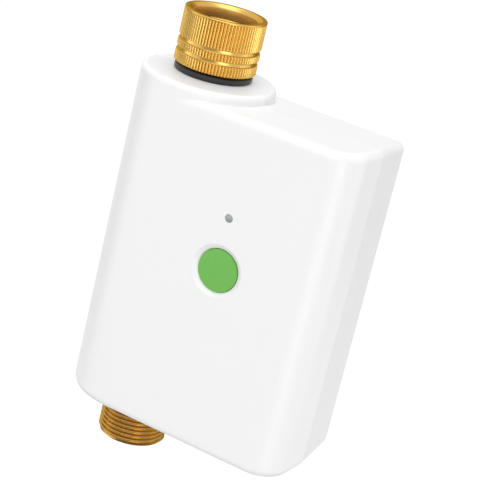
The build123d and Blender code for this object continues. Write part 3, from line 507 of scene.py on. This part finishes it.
def outlet_nipple(brass):
    """Brass outlet: a smooth neck with its ring groove, a relief under the housing and the hose thread."""
    bore_r, chamfer = 8.5, 1.0
    neck_r, neck_top = 10.45, -130.0
    groove_r, groove_top, groove_end = 8.95, -135.0, -137.0
    relief_r, shoulder = 12.6, -150.1
    thread_top, end = -153.7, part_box("outlet_nipple")[0].z / MM
    thread_corner = (THREAD_MAJOR_R, end + chamfer)
    corners = [
        (bore_r, neck_top), (neck_r, neck_top, 0.3), (neck_r, groove_top), (groove_r, groove_top),
        (groove_r, groove_end), (neck_r, groove_end), (neck_r, shoulder), (relief_r, shoulder),
        (relief_r, thread_top), (THREAD_MAJOR_R, thread_top), thread_corner,
        (THREAD_MAJOR_R - chamfer, end, 0.3), (bore_r, end, 0.3),
    ]
    bm = lathe(corners, OUTLET_STEPS, [(thread_corner, thread_rows(thread_top, end))])

    def wall(radius, turn, z):
        """Where the outlet's wall is after its thread is cut."""
        if radius > relief_r + NEAR and z < thread_top + NEAR:
            return min(radius, THREAD_MAJOR_R - thread_depth(thread_top, z) * (1 - thread_wave(turn, z)))
        return radius

    cut(bm, wall)
    nipple = piece("outlet_nipple_threaded", bm, brass, "housing", CREST_ANGLE)
    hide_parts("outlet_nipple")


def collar_ring(rubber):
    """Black rubber ring under the nut, moulded with rounded edges."""
    low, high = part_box("collar_ring")
    bore_r, outer_r = 10.5, high.x / MM
    top, bottom = high.z / MM, low.z / MM
    bm = lathe([(bore_r, top), (outer_r, top, 0.5), (outer_r, bottom, 0.6), (bore_r, bottom)], COLLAR_STEPS)
    ring = piece("collar_ring_moulded", bm, rubber, "housing")
    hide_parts("collar_ring")


def button_is_up(cell):
    """Whether a cell's upper end is its button, which is less than half as wide as the cell."""
    low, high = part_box(cell.name)
    middle = (low + high) / 2
    top = [vert.co for vert in cell.data.vertices if vert.co.z > high.z - NEAR * MM]
    return max((point - middle).xy.length for point in top) < (high.x - low.x) / 4


def contact_coils(steel):
    """The four cone springs behind the cells, each wound of round wire on the end away from its button."""
    wire_r = 0.35
    wall_r, cell_r = 4.1, 2.3
    turns, points_per_turn = 3.5, 24
    curve = bpy.data.curves.new("contact_coils", "CURVE")
    curve.dimensions = "3D"
    curve.bevel_depth = wire_r * MM
    curve.bevel_resolution = 3
    curve.use_fill_caps = True
    low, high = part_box("contact_springs")
    for number in range(1, 5):
        cell = nodes[f"battery_{number}"]
        cell_low, cell_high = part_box(cell.name)
        middle = (cell_low + cell_high) / 2
        cell_z, wall_z = (cell_low.z, low.z) if button_is_up(cell) else (cell_high.z, high.z)
        inside = wire_r * MM if cell_z > wall_z else -wire_r * MM
        start_z, end_z = wall_z + inside, cell_z - inside
        count = round(turns * points_per_turn)
        spline = curve.splines.new("POLY")
        spline.points.add(count)
        for i, point in enumerate(spline.points):
            part = i / count
            radius = (wall_r + (cell_r - wall_r) * part) * MM
            angle = 2 * math.pi * turns * part
            point.co = (middle.x + radius * math.cos(angle), middle.y + radius * math.sin(angle),
                        start_z + (end_z - start_z) * part, 1)
    path = bpy.data.objects.new("contact_coil_path", curve)
    mesh = bpy.data.meshes.new_from_object(path)
    bpy.data.objects.remove(path)
    bm = bmesh.new()
    bm.from_mesh(mesh)
    bpy.data.meshes.remove(mesh)
    coils = piece("contact_coils", bm, steel, "housing")
    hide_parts("contact_springs")


# Studio

def in_view(tree):
    """1 for what the camera sees itself, in a metal or through a clear piece, and 0 for soft light."""
    ray = add(tree, "LightPath")
    mirrored = add(tree, "Math", {0: ray.outputs["Is Glossy Ray"], 1: ray.outputs["Is Transmission Ray"]},
                   operation="MAXIMUM")
    seen = add(tree, "Math", {0: ray.outputs["Is Camera Ray"], 1: mirrored.outputs["Value"]},
               operation="MAXIMUM")
    unscattered = add(tree, "Math", {0: ray.outputs["Diffuse Depth"], 1: 0.5}, operation="LESS_THAN")
    return add(tree, "Math", {0: seen.outputs["Value"], 1: unscattered.outputs["Value"]},
               operation="MULTIPLY").outputs["Value"]


def studio_air():
    """White all round where it is seen, and an even soft light on the timer."""
    world = bpy.data.worlds.new("studio_air")
    world.use_nodes = True
    tree = world.node_tree
    level = add(tree, "MapRange", {"Value": in_view(tree), "To Min": AIR_LIGHT, "To Max": 1.0})
    fill(tree, tree.nodes["Background"], {"Color": (1, 1, 1, 1), "Strength": level.outputs["Result"]})
    bpy.context.scene.world = world


def studio_surface(name):
    """A new material for the studio, its tree and the output that its own shaders go to."""
    material = bpy.data.materials.new(name)
    material.use_nodes = True
    tree = material.node_tree
    tree.nodes.remove(tree.nodes["Principled BSDF"])
    return material, tree, tree.nodes["Material Output"]


def studio_sheet(name, width, height, material):
    """A flat rectangle of the studio, in the XY plane."""
    bm = bmesh.new()
    bmesh.ops.create_grid(bm, x_segments=1, y_segments=1, size=0.5)
    bmesh.ops.scale(bm, verts=bm.verts[:], vec=(width, height, 1))
    mesh = bpy.data.meshes.new(name)
    bm.to_mesh(mesh)
    bm.free()
    mesh.materials.append(material)
    obj = bpy.data.objects.new(name, mesh)
    bpy.context.scene.collection.objects.link(obj)
    return obj


def studio_floor():
    """Plain pale floor. Seen, it is near white and keeps a soft shadow; its light on the timer is plain."""
    material, tree, output = studio_surface("painted_floor")
    plain = add(tree, "BsdfDiffuse", {"Color": linear("#DCDCDC")})
    faint = add(tree, "BsdfDiffuse", {"Color": (FLOOR_FAINT, FLOOR_FAINT, FLOOR_FAINT, 1)})
    glow = add(tree, "Emission", {"Color": (1, 1, 1, 1), "Strength": FLOOR_GLOW})
    pale = add(tree, "AddShader", {0: faint.outputs[0], 1: glow.outputs[0]})
    chosen = add(tree, "MixShader", {0: in_view(tree), 1: plain.outputs[0], 2: pale.outputs[0]})
    fill(tree, output, {"Surface": chosen.outputs[0]})
    floor = studio_sheet("studio_floor", FLOOR_SIZE, FLOOR_SIZE, material)
    floor.location.z = FLOOR_Z


def outward(azimuth, elevation):
    """Direction away from the timer. Azimuth 0 is in front of it, and a quarter turn is on its right."""
    return Vector((math.sin(azimuth) * math.cos(elevation), -math.cos(azimuth) * math.cos(elevation),
                   math.sin(elevation)))


def place(obj, azimuth, elevation, distance):
    """Puts a lamp or a card round the timer, facing it, at angles in degrees."""
    away = outward(math.radians(azimuth), math.radians(elevation))
    turn = away.to_track_quat("Z", "Y").to_matrix().to_4x4()
    obj.matrix_world = Matrix.Translation(MIDDLE + away * distance) @ turn


def soft_box(name, azimuth, elevation, distance, width, height, level):
    """A soft box. Its level is how bright its face looks, where 1 is white."""
    light = bpy.data.lights.new(name, "AREA")
    light.shape = "RECTANGLE"
    light.size = width
    light.size_y = height
    light.energy = level * math.pi * width * height
    obj = bpy.data.objects.new(name, light)
    bpy.context.scene.collection.objects.link(obj)
    place(obj, azimuth, elevation, distance)


def card(name, azimuth, elevation, distance, width, height, level):
    """A grey card that only shows in reflections, as a photographer's flag does. It takes no light away."""
    material, tree, output = studio_surface(name)
    grey = add(tree, "Emission", {"Color": (1, 1, 1, 1), "Strength": level})
    fill(tree, output, {"Surface": grey.outputs[0]})
    obj = studio_sheet(name, width, height, material)
    place(obj, azimuth, elevation, distance)
    obj.visible_camera = False
    obj.visible_diffuse = False
    obj.visible_transmission = False
    obj.visible_shadow = False


def studio_lights():
    """Soft boxes and cards round the timer: azimuth and elevation in degrees, distance, width and height in
    metres, and level."""
    soft_box("left_box", -45, 5, 1.3, 0.5, 1.2, 0.2)
    soft_box("low_left_box", -66, -12, 1.1, 0.45, 0.5, 1.4)
    soft_box("low_right_box", 50, -15, 1.1, 0.5, 0.5, 2.5)
    soft_box("side_box", 128, 0, 1.2, 1.0, 1.0, 0.8)
    soft_box("front_box", 10, 20, 1.4, 1.0, 0.7, 1.1)
    soft_box("front_top_box", 5, 58, 1.4, 1.0, 1.0, 1.4)
    soft_box("top_box", 0, 88, 1.4, 0.7, 0.7, 2.1)
    soft_box("back_box", 210, 62, 1.5, 1.0, 1.0, 0.8)
    card("left_card", -82, -19, 1.2, 1.3, 0.9, 0.5)
    card("front_card", 3, -17, 1.1, 0.9, 0.8, 0.5)
    card("back_card", 168, 0, 1.3, 2.6, 1.4, 0.4)
    card("low_card", 0, -90, 0.49, 1.2, 1.2, 0.25)


def photo_camera():
    """The camera that sees the timer as the photograph does, turned a little on its own axis."""
    away = outward(AZIMUTH, ELEVATION)
    level_right = Vector((math.cos(AZIMUTH), math.sin(AZIMUTH), 0))
    level_up = away.cross(level_right)
    right = level_right * math.cos(ROLL) + level_up * math.sin(ROLL)
    up = level_up * math.cos(ROLL) - level_right * math.sin(ROLL)
    camera = bpy.data.cameras.new("photo_camera")
    camera.lens = LENS
    camera.sensor_width = SENSOR
    obj = bpy.data.objects.new("photo_camera", camera)
    bpy.context.scene.collection.objects.link(obj)
    turn = Matrix((right, up, away)).transposed().to_4x4()
    obj.matrix_world = Matrix.Translation(AIM + away * DISTANCE) @ turn
    bpy.context.scene.camera = obj


finishes = finish_for_slots()
dress_nodes(finishes)
inlet_nut(finishes["turned_brass"], bored_brass())
outlet_nipple(threaded_brass())
collar_ring(finishes["seal_rubber"])
contact_coils(finishes["contact_metal"])

studio_air()
studio_floor()
studio_lights()
photo_camera()
bpy.context.scene.view_settings.view_transform = "Standard"
